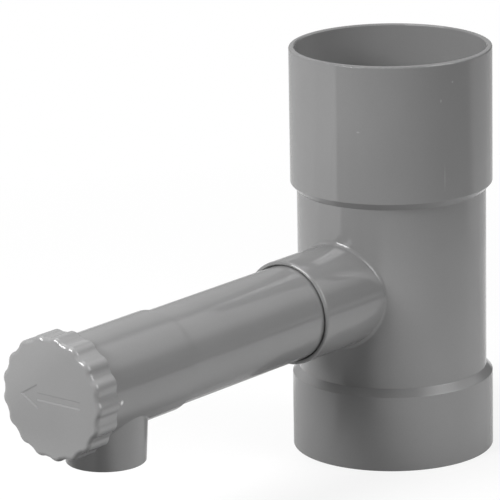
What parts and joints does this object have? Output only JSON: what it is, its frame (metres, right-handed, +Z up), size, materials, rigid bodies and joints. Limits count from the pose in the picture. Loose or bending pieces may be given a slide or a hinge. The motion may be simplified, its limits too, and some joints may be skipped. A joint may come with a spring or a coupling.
{
  "type": "rainwater diverter",
  "caption": "Grey plastic downpipe tee with a side arm, a spout under its end and a ribbed knob with an arrow that turns a scoop inside, to send rain down the pipe or out of the spout.",
  "frame": {"origin": "centre of the lower socket's mouth, on the downpipe's axis", "axes": "+Z up the downpipe; the side arm points along -Y; +X is to the right of the arm, seen from the knob, and the knob's arrow points to -X at rest"},
  "size_m": [0.0855, 0.2619, 0.174],
  "materials": {
    "tee_plastic": "satin mid-grey moulded PVC",
    "arm_plastic": "satin mid-grey moulded PVC",
    "scoop_plastic": "satin mid-grey moulded PVC",
    "knob_plastic": "satin mid-grey moulded PVC",
    "seal_rubber": "matt black rubber"
  },
  "bodies": {
    "fixed_pipework": {"tee_body": "tee_plastic", "outlet_arm": "arm_plastic"},
    "turning_scoop": {"scoop_tube": "scoop_plastic", "control_knob": "knob_plastic", "knob_seal": "seal_rubber"}
  },
  "joints": [
    {"name": "knob_turn", "type": "hinge", "parent": "fixed_pipework", "child": "turning_scoop", "pos_m": [0, -0.2124, 0.074], "axis": [0, 1, 0], "continuous": true}
  ]
}
